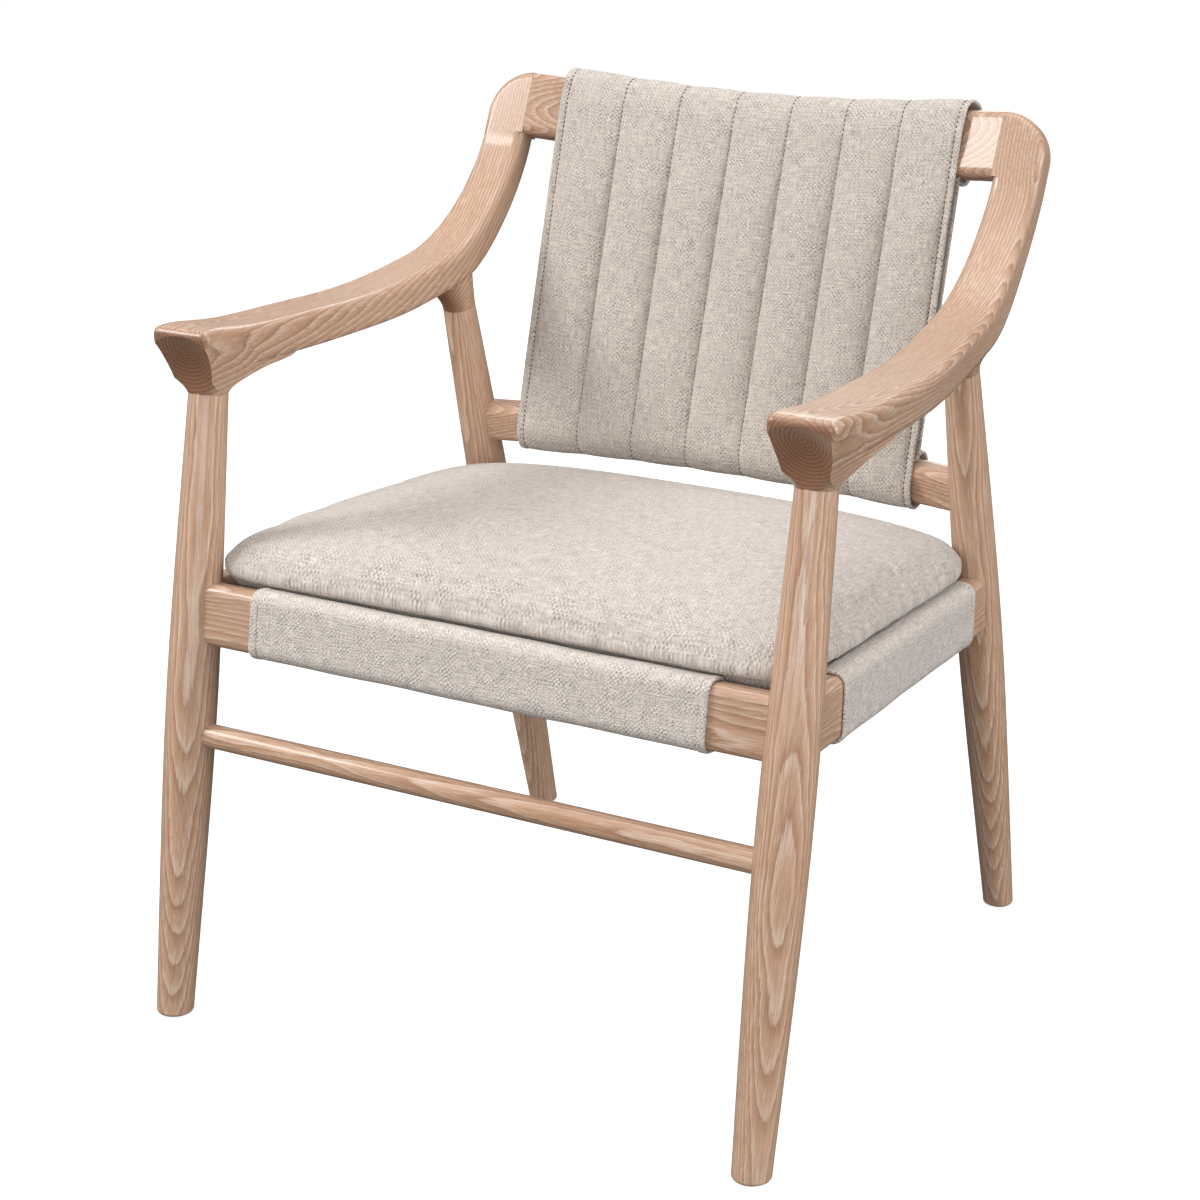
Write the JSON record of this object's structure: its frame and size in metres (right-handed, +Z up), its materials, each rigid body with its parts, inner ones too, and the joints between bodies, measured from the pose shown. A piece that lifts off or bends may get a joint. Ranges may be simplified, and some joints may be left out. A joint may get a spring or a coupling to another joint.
{
  "type": "lounge armchair",
  "caption": "Low wooden armchair with raked turned legs, flowing arms that rise to a bowed crest rail, a slung cloth back and an upholstered seat.",
  "frame": {"origin": "on the floor under the middle of the chair's overall box", "axes": "+Z up, -Y towards the front of the chair, +X to the right as seen from the front"},
  "size_m": [0.658, 0.6311, 0.7908],
  "materials": {
    "wood": "pale limed ash, satin",
    "block_wood": "plain unfinished wood",
    "dowel_wood": "plain unfinished wood",
    "steel": "zinc plated, matte",
    "webbing": "rubberised webbing, matte",
    "back_cloth": "warm grey woven cloth",
    "seat_cloth": "light warm grey woven cloth",
    "foam": "open-cell foam",
    "glide": "matte"
  },
  "bodies": {
    "root": {"front_leg_right": "wood", "front_leg_left": "wood", "rear_leg_right": "wood", "rear_leg_left": "wood", "arm_right": "wood", "arm_left": "wood", "crest_rail": "wood", "lower_back_rail": "wood", "front_seat_rail": "wood", "rear_seat_rail": "wood", "side_seat_rail_right": "wood", "side_seat_rail_left": "wood", "front_stretcher": "wood", "corner_block_front_right": "block_wood", "corner_block_front_left": "block_wood", "corner_block_rear_right": "block_wood", "corner_block_rear_left": "block_wood", "corner_block_screws": "steel", "front_rail_dowels": "dowel_wood", "rear_rail_dowels": "dowel_wood", "lower_rail_dowels": "dowel_wood", "side_rail_dowels": "dowel_wood", "crest_dowels": "dowel_wood", "webbing_cross": "webbing", "webbing_long": "webbing", "webbing_clips": "steel", "front_rail_sleeve": "back_cloth", "rear_rail_sleeve": "back_cloth", "side_rail_sleeve_right": "back_cloth", "side_rail_sleeve_left": "back_cloth", "seat_cushion_cover": "seat_cloth", "seat_cushion_foam": "foam", "back_sling": "back_cloth", "foot_glides": "glide"}
  },
  "joints": []
}
